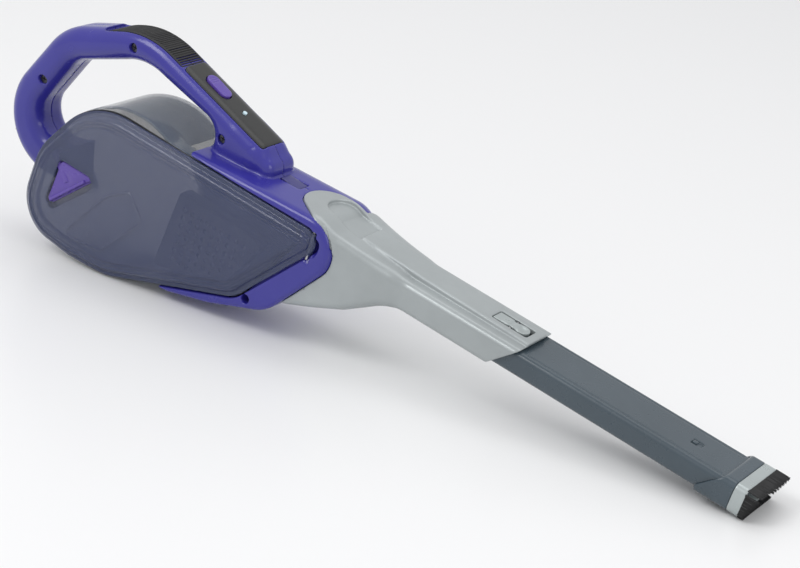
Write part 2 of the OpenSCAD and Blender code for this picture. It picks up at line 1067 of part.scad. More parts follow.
housing_near();
housing_far();
handle_grip();
control_panel();
housing_screws();
dust_bowl();
bowl_foot();
nozzle_housing();
inlet_duct();
inlet_flap();
filter_frame();
filter_pleats();
filter_screen();
fan_shroud();
motor_can();
motor_magnets();
motor_bracket();
motor_bearings();
motor_shaft();
motor_armature();
fan_impeller();
battery_cells();
battery_holder();
circuit_board();
power_switch();
charge_socket();
charge_light();
power_button();
release_button();
button_springs();
bowl_door();
door_seal();
door_hinge_pin();
door_latch();
latch_spring();
crevice_tube();
tube_lock();
tube_lock_pin();
brush_collar();
brush_band();
bristles();
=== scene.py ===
import math

import bmesh
import bpy
import numpy as np
import openvdb
from mathutils import Matrix, Vector


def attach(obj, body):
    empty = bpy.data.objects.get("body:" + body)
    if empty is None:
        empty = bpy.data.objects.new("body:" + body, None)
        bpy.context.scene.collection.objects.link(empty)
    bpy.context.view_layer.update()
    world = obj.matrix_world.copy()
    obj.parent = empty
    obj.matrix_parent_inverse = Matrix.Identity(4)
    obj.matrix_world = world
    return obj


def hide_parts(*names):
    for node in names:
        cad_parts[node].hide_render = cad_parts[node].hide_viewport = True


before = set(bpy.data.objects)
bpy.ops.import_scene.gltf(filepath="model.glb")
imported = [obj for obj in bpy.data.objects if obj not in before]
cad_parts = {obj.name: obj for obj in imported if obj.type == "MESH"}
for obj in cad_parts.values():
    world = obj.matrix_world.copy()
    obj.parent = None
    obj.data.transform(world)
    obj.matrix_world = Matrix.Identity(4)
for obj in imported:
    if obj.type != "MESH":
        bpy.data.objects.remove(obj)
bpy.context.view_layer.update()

# Everything is modelled along the nozzle in millimetres, then pitched nose down and scaled to metres.
PITCH = math.radians(11.05)
REST_H = 58.5
FOOT_X = 8.6
HALF_W = 34.0
HANDLE_HALF_W = 17.0
SKIN_T = 2.2
WALL = 2.4
GAP = 0.4

REAR_ARC = (0, 0, 58)
REAR_HEEL = (-39, -28, 30)
DOOR_FRONT = (102, 5, 25)
REAR_LOW = (-20, -12, 47.5)
BACK = [REAR_ARC, REAR_LOW, REAR_HEEL, REAR_LOW, REAR_ARC, DOOR_FRONT]
DOOR = [(155, 49, 10)] + BACK
TRAY = [(141, 47, 9.5)] + BACK
FRAME = [(155, 44, 22), REAR_ARC, (88, -1.5, 31), (123, 11.5, 29.5)]
ARCH = [(88, 70, 12), (-12, 43, 65.5), (-52, 45, 47.5), (-72, 16, 43)]
GRIP_GAP = [(42, 66, 13), (-8, 46, 43), (-52, 46, 23.5), (-72, 18, 18), (-64, 16, 14), (46, 56, 8)]
NOSE = [(214, 44, 12), (160, 58, 6), (148, 12, 15), (188, 24, 10)]
BOWL = (8, 4)
TUBE_Z = 45.0
SLEEVE_HALF_W = 22.35
SLEEVE_HALF_H = 10.35
BADGE = [(19.5, 7, 6), (6, -1, 5), (-19, -39, 5), (5, -33.5, 6), (28.5, -2, 6)]
LATCH_AT = (-34.5, -8)
LATCH_ANGLE = 47.5
HINGE = (160, -31)
HINGE_MID_Z = 49
BUTTON_AT = (41.5, 97.6)
LIGHT_AT = (66, 89.6)
PANEL_SLOPE = 17.4
RELEASE_AT = (117, 65)
RELEASE_SLOPE = 3
LOCK_PIN = (297, 56.2)
SLEEVE_END = 316
# the power button and its slot are round-ended, with the ends centred this far from the middle
BUTTON_REACH = 5.6
# side view of the low spine along the top of the nozzle
SPINE = [(150, 50), (330, 50), (SLEEVE_END, 57.6), (236, 59), (150, 63)]
SCREWS = [(-90, 40, 3), (-22, 97, 3), (64, 72, 3), (126, -11.5, 2.9)]


def to_world(points):
    """Nozzle frame in millimetres to the frame of the CAD in metres."""
    c, s = math.cos(PITCH), math.sin(PITCH)
    x, y, z = points[:, 0], points[:, 1], points[:, 2]
    out = np.stack([x * c + z * s - FOOT_X, y, -x * s + z * c + REST_H], axis=1)
    return out / 1000.0


# ---- Distance fields ----

def circle(X, Z, c):
    return np.sqrt((X - c[0]) ** 2 + (Z - c[1]) ** 2) - c[2]


def polygon(X, Z, points):
    """Signed distance to a simple polygon, negative inside."""
    best = np.full(np.broadcast(X, Z).shape, 1e9, np.float32)
    inside = np.zeros(best.shape, bool)
    n = len(points)
    for i in range(n):
        (ax, az), (bx, bz) = points[i], points[(i + 1) % n]
        ex, ez = bx - ax, bz - az
        t = np.clip(((X - ax) * ex + (Z - az) * ez) / max(ex * ex + ez * ez, 1e-9), 0, 1)
        best = np.minimum(best, (X - ax - t * ex) ** 2 + (Z - az - t * ez) ** 2)
        if az != bz:
            crosses = ((Z > az) != (Z > bz)) & (X < ax + (Z - az) * ex / ez)
            inside ^= crosses
    best = np.sqrt(best)
    return np.where(inside, -best, best)


def outline(X, Z, corners, grow=0.0):
    """Rounded outline around corner circles (x, z, radius), counter-clockwise."""
    grown = [(c[0], c[1], max(c[2] + grow, 0.5)) for c in corners]
    points = []
    for a, b in zip(grown, grown[1:] + grown[:1]):
        span = math.hypot(b[0] - a[0], b[1] - a[1])
        turn = math.atan2(b[1] - a[1], b[0] - a[0]) - math.pi / 2 - math.asin((b[2] - a[2]) / span)
        for c in (a, b):
            points.append((c[0] + c[2] * math.cos(turn), c[1] + c[2] * math.sin(turn)))
    d = polygon(X, Z, points)
    for c in grown:
        d = np.minimum(d, circle(X, Z, c))
    return d


def both(a, b, r=0.8):
    """Inside both, with an edge of radius r."""
    qa, qb = a + r, b + r
    away = np.sqrt(np.maximum(qa, 0) ** 2 + np.maximum(qb, 0) ** 2)
    return np.minimum(np.maximum(qa, qb), 0) + away - r


def less(a, b, r=0.6):
    """a without b, with a softened rim."""
    return both(a, -b, r)


def either(a, b, k=1.0):
    """a or b, with a fillet of about k."""
    h = np.maximum(k - np.abs(a - b), 0) / k
    return np.minimum(a, b) - h * h * k / 4


def slab(d2, Y, y0, y1, r=1.0):
    return both(d2, np.abs(Y - (y0 + y1) / 2) - (y1 - y0) / 2, r)


def from_hinge(X, Y):
    """Distance from the axis of the door's hinge."""
    return np.sqrt((X - HINGE[0]) ** 2 + (Y - HINGE[1]) ** 2)


def bar_x(X, Y, Z, x0, x1, half_y, half_z, r, end_r=0.6):
    """A rounded bar along the tube's middle line."""
    section = both(np.abs(Y) - half_y, np.abs(Z - TUBE_Z) - half_z, r)
    return both(section, np.abs(X - (x0 + x1) / 2) - (x1 - x0) / 2, end_r)


def block(X, Y, Z, mid, half, r=0.8):
    qx, qy, qz = (np.abs(v - m) - h + r for v, m, h in zip((X, Y, Z), mid, half))
    away = np.sqrt(np.maximum(qx, 0) ** 2 + np.maximum(qy, 0) ** 2 + np.maximum(qz, 0) ** 2)
    return np.minimum(np.maximum(np.maximum(qx, qy), qz), 0) + away - r


def turned(X, Z, at, degrees):
    """Coordinates of a flat piece laid at a side-view point and leaning forward by degrees."""
    c, s = math.cos(math.radians(degrees)), math.sin(math.radians(degrees))
    dx, dz = X - at[0], Z - at[1]
    return dx * c - dz * s, dx * s + dz * c


def carve(name, lo, hi, step, field, merge=0.012):
    """A mesh of the surface where field is zero, sampled every step millimetres between lo and hi."""
    axes = [np.arange(a, b + step, step, dtype=np.float32) for a, b in zip(lo, hi)]
    X, Y, Z = axes[0][:, None, None], axes[1][None, :, None], axes[2][None, None, :]
    d = np.asarray(np.broadcast_to(field(X, Y, Z), tuple(len(a) for a in axes)), np.float32)
    grid = openvdb.FloatGrid(3.0)
    grid.copyFromArray(np.ascontiguousarray(np.clip(d / step, -2.99, 3.0)))
    co, tris, quads = grid.convertToPolygons(0.0, merge)
    co = to_world(co.astype(np.float64) * step + np.array([a[0] for a in axes]))
    loops = np.concatenate([quads.reshape(-1), tris.reshape(-1)])
    sizes = np.concatenate([np.full(len(quads), 4), np.full(len(tris), 3)])
    mesh = bpy.data.meshes.new(name)
    mesh.vertices.add(len(co))
    mesh.vertices.foreach_set("co", co.astype(np.float32).ravel())
    mesh.loops.add(len(loops))
    mesh.loops.foreach_set("vertex_index", loops.astype(np.int32))
    mesh.polygons.add(len(sizes))
    mesh.polygons.foreach_set("loop_start", np.concatenate([[0], np.cumsum(sizes)[:-1]]).astype(np.int32))
    mesh.update(calc_edges=True)
    mesh.validate()
    return finish_mesh(name, mesh)


def finish_mesh(name, mesh, sharp=None):
    bm = bmesh.new()
    bm.from_mesh(mesh)
    bmesh.ops.recalc_face_normals(bm, faces=bm.faces)
    if bm.calc_volume(signed=True) < 0:
        bmesh.ops.reverse_faces(bm, faces=bm.faces)
    bm.to_mesh(mesh)
    bm.free()
    mesh.polygons.foreach_set("use_smooth", np.ones(len(mesh.polygons), bool))
    if sharp:
        mesh.set_sharp_from_angle(angle=math.radians(sharp))
    obj = bpy.data.objects.new(name, mesh)
    bpy.context.scene.collection.objects.link(obj)
    return obj


def place(obj, body, material, slot, *nodes):
    obj.data.materials.clear()
    obj.data.materials.append(material)
    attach(obj, body)
    if nodes:
        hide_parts(*nodes)
    return obj


# ---- Materials ----

def plastic(name, color, rough=0.3, metal=0.0, coat=0.0, grain=0.04, grain_size=2500, mottle=0.08,
            wear=0.25, alpha=1.0):
    """Moulded plastic, rubber or metal: mottled colour, worn edges, fine grain and uneven gloss."""
    mat = bpy.data.materials.new(name)
    mat.use_nodes = True
    nt = mat.node_tree
    bsdf = nt.nodes["Principled BSDF"]
    bsdf.inputs["Metallic"].default_value = metal
    bsdf.inputs["Coat Weight"].default_value = coat
    bsdf.inputs["Coat Roughness"].default_value = 0.08
    bsdf.inputs["Alpha"].default_value = alpha
    new, link = nt.nodes.new, nt.links.new
    coords = new("ShaderNodeTexCoord")

    def noise(scale, detail):
        n = new("ShaderNodeTexNoise")
        n.inputs["Scale"].default_value = scale
        n.inputs["Detail"].default_value = detail
        n.inputs["Roughness"].default_value = 0.6
        link(coords.outputs["Object"], n.inputs["Vector"])
        return n.outputs["Fac"]

    def span(fac, lo, hi, out_lo, out_hi):
        n = new("ShaderNodeMapRange")
        for key, value in zip(("From Min", "From Max", "To Min", "To Max"), (lo, hi, out_lo, out_hi)):
            n.inputs[key].default_value = value
        link(fac, n.inputs["Value"])
        return n.outputs["Result"]

    mix = new("ShaderNodeMix")
    mix.data_type = "RGBA"
    link(span(noise(18, 4), 0.3, 0.7, 0, 1), mix.inputs["Factor"])
    mix.inputs["A"].default_value = [c * (1 - mottle) for c in color] + [1]
    mix.inputs["B"].default_value = [min(c * (1 + mottle) + 0.004, 1) for c in color] + [1]
    shade = mix.outputs["Result"]
    if wear > 0:
        geo = new("ShaderNodeNewGeometry")
        edge = new("ShaderNodeMath")
        edge.operation = "MULTIPLY"
        link(span(geo.outputs["Pointiness"], 0.53, 0.62, 0, wear), edge.inputs[0])
        link(span(noise(260, 5), 0.42, 0.62, 0, 1), edge.inputs[1])
        worn = new("ShaderNodeMix")
        worn.data_type = "RGBA"
        link(edge.outputs["Value"], worn.inputs["Factor"])
        link(shade, worn.inputs["A"])
        worn.inputs["B"].default_value = [min(c * 1.5 + 0.05, 1) for c in color] + [1]
        shade = worn.outputs["Result"]
    link(shade, bsdf.inputs["Base Color"])
    link(span(noise(70, 6), 0.3, 0.7, max(rough - 0.06, 0.02), rough + 0.07), bsdf.inputs["Roughness"])
    bump = new("ShaderNodeBump")
    bump.inputs["Strength"].default_value = max(grain, 0.002)
    bump.inputs["Distance"].default_value = 0.0002
    link(noise(grain_size, 3), bump.inputs["Height"])
    link(bump.outputs["Normal"], bsdf.inputs["Normal"])
    return mat


indigo = plastic("indigo gloss plastic", (0.03, 0.026, 0.27), 0.22, coat=0.15, grain=0.02, mottle=0.04)
violet = plastic("violet gloss plastic", (0.10, 0.055, 0.34), 0.26, coat=0.15, mottle=0.05)
navy = plastic("navy plastic", (0.02, 0.018, 0.16), 0.3, coat=0.2)
silver = plastic("silver plastic", (0.365, 0.395, 0.40), 0.34, metal=0.35, coat=0.15, grain=0.12,
                 grain_size=5200, wear=0.35)
band_mat = plastic("silver band plastic", (0.40, 0.44, 0.44), 0.3, metal=0.45, coat=0.2, grain=0.1,
                   grain_size=5200)
slate = plastic("slate plastic", (0.044, 0.066, 0.084), 0.28, coat=0.25, grain=0.06, wear=0.25)
charcoal = plastic("charcoal panel plastic", (0.011, 0.0115, 0.011), 0.34, coat=0.15, grain=0.1, wear=0.15)
rubber = plastic("black grip rubber", (0.018, 0.018, 0.019), 0.62, grain=0.35, grain_size=4200, wear=0.3)
soft_rubber = plastic("seal rubber", (0.02, 0.021, 0.023), 0.55, grain=0.2, wear=0.1)
door_mat = plastic("smoky clear door", (0.066, 0.082, 0.165), 0.12, coat=0.15, grain=0.0, mottle=0.03,
                   wear=0.1, alpha=0.56)
bowl_mat = plastic("smoky clear bowl", (0.085, 0.115, 0.165), 0.12, coat=0.2, grain=0.0, mottle=0.03,
                   wear=0.1, alpha=0.5)
filter_grey = plastic("filter frame plastic", (0.10, 0.108, 0.085), 0.5, grain=0.2)
paper = plastic("filter paper", (0.62, 0.60, 0.53), 0.85, grain=0.6, grain_size=1800, wear=0.0, mottle=0.12)
mesh_steel = plastic("filter screen steel", (0.13, 0.14, 0.11), 0.42, metal=0.6, grain=0.3, wear=0.1)
black = plastic("black plastic", (0.022, 0.022, 0.024), 0.42, grain=0.12)
steel = plastic("steel", (0.46, 0.46, 0.47), 0.3, metal=1.0, grain=0.08, wear=0.15)
dark_steel = plastic("dark screw steel", (0.07, 0.07, 0.08), 0.36, metal=0.9, grain=0.1)
copper = plastic("copper windings", (0.55, 0.22, 0.10), 0.35, metal=0.9, grain=0.5, grain_size=900)
brass = plastic("bearing brass", (0.5, 0.36, 0.14), 0.3, metal=1.0)
magnet = plastic("magnet ferrite", (0.045, 0.045, 0.048), 0.5, metal=0.3, grain=0.3)
fan_mat = plastic("white fan plastic", (0.62, 0.62, 0.64), 0.4)
wrap = plastic("green cell wrap", (0.03, 0.22, 0.12), 0.25, coat=0.3)
board = plastic("green circuit board", (0.012, 0.085, 0.03), 0.35, coat=0.3)
lens = plastic("pale light lens", (0.55, 0.72, 0.80), 0.2, coat=0.4)
bristle_mat = plastic("black bristles", (0.012, 0.012, 0.013), 0.5, grain=0.1, wear=0.0)

# ---- Housing ----

def arch_2d(X, Z):
    d = outline(X, Z, ARCH)
    d = np.maximum(d, -outline(X, Z, GRIP_GAP))
    d = np.maximum(d, -circle(X, Z, (BOWL[0], BOWL[1], 60 + GAP)))
    return np.maximum(d, -polygon(X, Z, [(56, -60), (116, -60), (116, 50), (56, 50)]))


def frame_2d(X, Z):
    d = outline(X, Z, FRAME)
    d = np.maximum(d, -circle(X, Z, (BOWL[0], BOWL[1], 60 + GAP)))
    return np.maximum(d, 54 - X)


def handle_solid(X, Y, Z):
    side_view = outline(X, Z, [(97.5, 66, 9), (70, 72, 12), (70, 62, 8), (97.5, 62, 8)])
    prow = slab(side_view, Y, -15.5, 15.5, 6.5)
    return either(slab(arch_2d(X, Z), Y, -HANDLE_HALF_W, HANDLE_HALF_W, 10.5), prow, 3.0)


def plan_tongue(X, Y, grow=0.0):
    """Plan of the silver tongue that laps over the top of the body."""
    return outline(X, Y, [(200, -3, 17), (150, -4, 18), (161, -18.5, 13), (200, -18.5, 13)], grow)


def tongue_shape(X, Y, Z, grow=0.0):
    shell = slab(outline(X, Z, FRAME, 1.1 + grow), Y, -34.2 - grow, 34.2 + grow, np.where(Y > 0, 20.0, 9.0))
    lap = both(shell, plan_tongue(X, Y, grow), 0.9)
    return np.maximum(lap, np.maximum(52 - Z, 128 - X))


def skin_zone(X, Y, Z, x0, x1, z0, grow):
    """Where the grip or the panel is laid into the top of the handle."""
    zone = np.maximum(np.abs(X - (x0 + x1) / 2) - (x1 - x0) / 2, z0 - Z)
    lay = outline(X, Z, ARCH, -SKIN_T)
    side = np.abs(Y) - 12.0
    return both(both(zone, side, 3.0) - grow, -lay, 0.4)


def screw_holes(X, Y, Z, body, side):
    for spot in SCREWS:
        floor = -18 if spot[0] > 100 else -HANDLE_HALF_W + 5
        if side < 0:
            hole = np.maximum(circle(X, Z, (spot[0], spot[1], spot[2] + 0.3)), Y - floor)
            body = less(body, hole, 0.7)
        body = np.maximum(body, -np.maximum(circle(X, Z, (spot[0], spot[1], 1.6)), np.abs(Y) - 18))
    return body


def door_room(X, Y, Z):
    """The room that the door's knuckle and tip turn through as it opens."""
    room = np.maximum(from_hinge(X, Y) - 3.3, np.abs(Z - HINGE_MID_Z) - 8.3)
    for turn in (14, 30, 46, 62, 78, 90, 95):
        ca, sa = math.cos(math.radians(turn)), math.sin(math.radians(turn))
        TX = HINGE[0] + (X - HINGE[0]) * ca + (Y - HINGE[1]) * sa
        TY = HINGE[1] - (X - HINGE[0]) * sa + (Y - HINGE[1]) * ca
        edge = outline(TX, Z, DOOR)
        flange = slab(edge + 0.2, TY, -34.3, -31.1, 0.9)
        dome = slab(edge + 3.8, TY, -38.3, -31, 3.8)
        room = np.minimum(room, np.maximum(np.minimum(flange, dome), 150 - TX))
    return np.maximum(room, 155 - X)


def housing(side):
    """Field of one half of the body with the handle, near (-1) or far (1)."""
    def field(X, Y, Z):
        # large rounding on the far side, a tight edge round the door
        near_edge = 3.0 + 2.0 * np.clip((Z - 10) / 30, 0, 1)
        shape = slab(frame_2d(X, Z), Y, -HALF_W, HALF_W, np.where(Y > 0, 20.0, near_edge))
        shape = either(shape, handle_solid(X, Y, Z), 2.5)
        hollow = both(outline(X, Z, FRAME, -WALL), 54 + WALL - X, 1)
        hollow = np.maximum(hollow, -circle(X, Z, (BOWL[0], BOWL[1], 60 + GAP + WALL)))
        hollow = np.maximum(hollow, -circle(X, Z, (SCREWS[3][0], SCREWS[3][1], 4.5)))
        shape = np.maximum(shape, -slab(hollow, Y, -17.6, HALF_W - WALL, np.where(Y > 0, 18.0, 1.0)))
        tunnel = np.maximum(arch_2d(X, Z) + WALL + 1.2, np.abs(Y) - 13.8)
        for spot in SCREWS[:3]:
            tunnel = np.maximum(tunnel, -circle(X, Z, (spot[0], spot[1], 4.6)))
        tunnel = np.maximum(tunnel, outline(X, Z, ARCH, -4.4))
        shape = np.maximum(shape, -tunnel)
        # grip and panel are let in
        shape = less(shape, skin_zone(X, Y, Z, -52, 18, 60, 0.25), 0.3)
        shape = less(shape, skin_zone(X, Y, Z, 18, 94, 74, 0.25), 0.3)
        # nozzle tube, duct and button wells
        shape = np.maximum(shape, -bar_x(X, Y, Z, 140, 182, 20.4, 8.4, 4))
        shape = np.maximum(shape, -bar_x(X, Y, Z, 46, 176, 17.3, 8.7, 3))
        a, b = turned(X, Z, BUTTON_AT, PANEL_SLOPE)
        shape = less(shape, block(a, Y, b, (0, 0, 0), (10.9, 5.4, 8), 1.2), 0.4)
        a, b = turned(X, Z, RELEASE_AT, RELEASE_SLOPE)
        shape = less(shape, block(a, Y, b, (0, 0, 0), (8.4, 5.4, 8), 1.2), 0.5)
        a, b = turned(X, Z, LIGHT_AT, PANEL_SLOPE)
        shape = np.maximum(shape, -np.maximum(np.sqrt(a * a + Y * Y) - 1.6, np.abs(b) - 8))
        socket = np.maximum(np.sqrt((X + 64) ** 2 + Y * Y) - 5.0, np.abs(Z + 22) - 12)
        shape = less(shape, socket, 0.5)
        shape = less(shape, tongue_shape(X, Y, Z, 0.2), 0.35)
        if side < 0:
            rim = outline(X, Z, DOOR, 0.5)
            shape = less(shape, np.maximum(rim, Y + 30.2), 1.0)
            tray = outline(X, Z, TRAY, 0.45)
            shape = np.maximum(shape, -np.maximum(tray, Y + 17.6))
            shape = less(shape, door_room(X, Y, Z), 0.3)
            pin = np.maximum(from_hinge(X, Y) - 1.25, np.abs(Z - HINGE_MID_Z) - 14)
            shape = np.maximum(shape, -pin)
        else:
            for column in (0, 1):
                for row in range(-3, 4):
                    slot = block(X, Y, Z, (89 + 20 * column, 34, 4 + 6 * row), (8, 6, 1.2), 1.1)
                    shape = less(shape, slot, 0.5)
        shape = screw_holes(X, Y, Z, shape, side)
        # the seam between the halves
        return both(shape, side * -Y + 0.06, 0.35)
    return field


near = carve("housing_near_skin", (-118, -35.5, -40), (182, 1.5, 111), 0.55, housing(-1))
place(near, "body", indigo, "indigo_plastic", "housing_near")
far = carve("housing_far_skin", (-118, -1.5, -40), (182, 35.5, 111), 0.55, housing(1))
place(far, "body", indigo, "indigo_plastic", "housing_far")


def grip(X, Y, Z):
    skin = both(handle_solid(X, Y, Z) + 0.1, skin_zone(X, Y, Z, -52, 18, 60, -0.05), 0.5)
    reach = np.sqrt((X + 12) ** 2 + (Z - 42) ** 2)
    angle = np.degrees(np.arctan2(Z - 42, X + 12))
    pitch = 1.75
    phase = np.abs((angle - 62) / pitch - np.round((angle - 62) / pitch)) * pitch * math.pi / 180 * 65
    groove = np.maximum(0.6 - phase * 1.1, 0)
    groove = np.where((np.abs(Y) < 10.6) & (angle > 63) & (angle < 119), groove, 0)
    return np.maximum(skin, reach - 65.5 + 2.0 * groove)


place(carve("grip_skin", (-56, -14, 78), (20, 14, 110), 0.4, grip), "body", rubber,
      "grip_rubber", "handle_grip")


def panel(X, Y, Z):
    skin = both(handle_solid(X, Y, Z) + 0.1, skin_zone(X, Y, Z, 18.4, 94, 74, -0.05), 0.5)
    a, b = turned(X, Z, BUTTON_AT, PANEL_SLOPE)
    opening = outline(a, Y, [(BUTTON_REACH, 0, 5.3), (-BUTTON_REACH, 0, 5.3)])
    skin = less(skin, np.maximum(opening, np.abs(b) - 8), 0.4)
    a, b = turned(X, Z, LIGHT_AT, PANEL_SLOPE)
    return less(skin, np.maximum(np.sqrt(a * a + Y * Y) - 1.6, np.abs(b) - 8), 0.2)


place(carve("panel_skin", (15, -14, 70), (97, 14, 112), 0.45, panel), "body", charcoal,
      "charcoal_plastic", "control_panel")


def power(X, Y, Z):
    a, b = turned(X, Z, BUTTON_AT, PANEL_SLOPE)
    crown = a * a / 700 + Y * Y / 160
    cap = both(block(a, Y, b, (0, 0, -1.7), (10.5, 5.0, 1.7), 0.9), b + 0.15 + crown * 0.5, 0.3)
    cap = both(cap, outline(a, Y, [(BUTTON_REACH, 0, 4.9), (-BUTTON_REACH, 0, 4.9)]), 0.6)
    for i in range(-1, 2):
        rib = block(a, Y, b, (-5.5 + 1.8 * i, 0, 0), (0.35, 3.4, 0.45), 0.3)
        cap = less(cap, rib, 0.15)
    stem = block(a, Y, b, (0, 0, -4.6), (2, 2, 1.6), 0.3)
    return np.minimum(cap, stem)


place(carve("power_button_cap", (29, -6.5, 84), (55, 6.5, 106), 0.3, power), "power_button", violet,
      "violet_plastic", "power_button")


def release(X, Y, Z):
    a, b = turned(X, Z, RELEASE_AT, RELEASE_SLOPE)
    return both(block(a, Y, b, (0, 0, -2.6), (8, 5.0, 2), 0.9), b + 0.75 + Y * Y / 190, 0.3)


place(carve("release_button_cap", (107, -6.5, 58), (127, 6.5, 67), 0.3, release), "release_button", navy,
      "navy_plastic", "release_button")

# ---- Dust bowl and door ----

def barrel(X, Y, Z, r, y0, y1, shoulder):
    body = both(circle(X, Z, (BOWL[0], BOWL[1], r)), Y - y1, shoulder)
    return np.maximum(body, y0 - Y)


def bowl(X, Y, Z):
    tray = slab(outline(X, Z, TRAY, -0.05), Y, -29.95, -18.05, 0.8)
    outer = either(tray, barrel(X, Y, Z, 59.95, -29.9, 32.95, 16), 1.5)
    inner = np.maximum(outline(X, Z, TRAY, -2), np.maximum(Y + 20, -31 - Y))
    inner = either(inner, barrel(X, Y, Z, 58, -31, 31, 14), 1.0)
    d = less(outer, inner, 0.5)
    d = np.maximum(d, -np.maximum(circle(X, Z, (100, 4, 13)), np.abs(Y + 18) - 4))
    d = np.maximum(d, -bar_x(X, Y, Z, 30, 78, 17.25, 8.65, 3))
    # faint round step in the far wall
    ring = np.abs(circle(X, Z, (8, 4, 38))) - 0.6
    d = less(d, np.maximum(ring, 32.5 - Y), 0.3)
    # keeper for the latch, inside the rim
    a, b = turned(X, Z, LATCH_AT, -LATCH_ANGLE)
    keeper = np.maximum(block(a, Y, b, (0, -27.8, 28.5), (3.9, 1.7, 7.4), 0.5), outline(X, Z, TRAY, -0.6))
    return either(d, keeper, 0.5)


place(carve("bowl_skin", (-72, -31.5, -61), (152, 34.5, 66), 0.6, bowl, 0.008), "body", bowl_mat,
      "smoke_clear", "dust_bowl")


def latch_2d(a, b, grow):
    return outline(a, b, [(19, -5, 3), (4, 11, 3), (-19, -5, 3)], grow)


def latch_hole(X, Z, grow):
    a, b = turned(X, Z, LATCH_AT, -LATCH_ANGLE)
    d = np.minimum(latch_2d(a, b, grow), latch_2d(a, b + 3, grow))
    return np.minimum(d, polygon(a, b, [(-19, -11 - grow), (19, -11 - grow), (19, -3), (-19, -3)]))


def door(X, Y, Z):
    edge = outline(X, Z, DOOR, -0.6)
    flange = slab(edge, Y, -34.0, -31.45, 0.9)
    dome = slab(outline(X, Z, DOOR, -4.2), Y, -37.95, -31.0, 3.8)
    shell = either(flange, dome, 1.6)
    shell = less(shell, slab(outline(X, Z, DOOR, -11.2), Y, -36.0, -20, 1.0), 0.6)
    face = outline(X, Z, DOOR, -10.5)
    # double line around the face
    for depth in (0.0, 2.2):
        groove = np.sqrt((face - depth) ** 2 + (Y + 38.2) ** 2) - 0.85
        shell = less(shell, groove, 0.25)
    # knuckle behind the rounded tip
    knuckle = both(from_hinge(X, Y) - 2.75, np.abs(Z - HINGE_MID_Z) - 7.9, 0.4)
    strap = block(X, Y, Z, (154.5, -32.7, HINGE_MID_Z), (5.5, 1.25, 6), 0.4)
    shell = np.minimum(shell, np.minimum(knuckle, strap))
    # latch pocket
    pocket = np.maximum(latch_hole(X, Z, 2.6), np.abs(Y + 34.7) - 2.75)
    shell = np.minimum(shell, pocket)
    shell = np.maximum(shell, -np.maximum(from_hinge(X, Y) - 1.3, np.abs(Z - HINGE_MID_Z) - 30))
    shell = less(shell, np.maximum(latch_hole(X, Z, 0.8), np.abs(Y + 36.3) - 2.7), 0.5)
    a, b = turned(X, Z, LATCH_AT, -LATCH_ANGLE)
    shell = np.maximum(shell, -block(a, Y, b, (0, -32.4, 9.5), (2.5, 4.4, 15.5), 0.2))
    # blank raised plate
    plate = slab(outline(X, Z, BADGE), Y, -38.7, -36.5, 0.4)
    shell = either(shell, plate, 0.4)
    shell = less(shell, slab(outline(X, Z, BADGE, -1.4), Y, -39.5, -37.9, 0.1), 0.15)
    for spot in ((24, 47.5), (2, -50)):
        stud = np.maximum(circle(X, Z, spot + (2.0,)), np.abs(Y + 33.2) - 1.3)
        shell = either(shell, stud, 0.5)
    return shell


place(carve("door_skin", (-72, -40, -61), (166, -30, 62), 0.45, door, 0.002), "door", door_mat,
      "smoke_clear", "bowl_door")


def latch(X, Y, Z):
    a, b = turned(X, Z, LATCH_AT, -LATCH_ANGLE)
    plate = slab(latch_2d(a, b, -0.2), Y, -36.4, -34.0, 0.6)
    dish = np.sqrt((a - 1) ** 2 + (b - 2) ** 2 + (Y + 57) ** 2) - 21.3
    plate = less(plate, dish, 0.4)
    plate = less(plate, block(a, Y, b, (0, -36.9, -9.2), (30, 1.9, 2.6), 0.3), 0.3)
    ridge = block(a, Y, b, (-0.5, -37.3, -5.25), (18.3, 1.8, 1.2), 0.9)
    arm = block(a, Y, b, (0, -35.2, 11.5), (2, 1.15, 11.5), 0.3)
    hook = block(a, Y, b, (0, -33.4, 21.75), (2, 2.95, 1.25), 0.3)
    return np.minimum(either(plate, ridge, 1.0), np.minimum(arm, hook))


place(carve("latch_skin", (-64, -41, -40), (-10, -29, 16), 0.3, latch), "latch", violet,
      "violet_plastic", "door_latch")

# ---- Nozzle ----

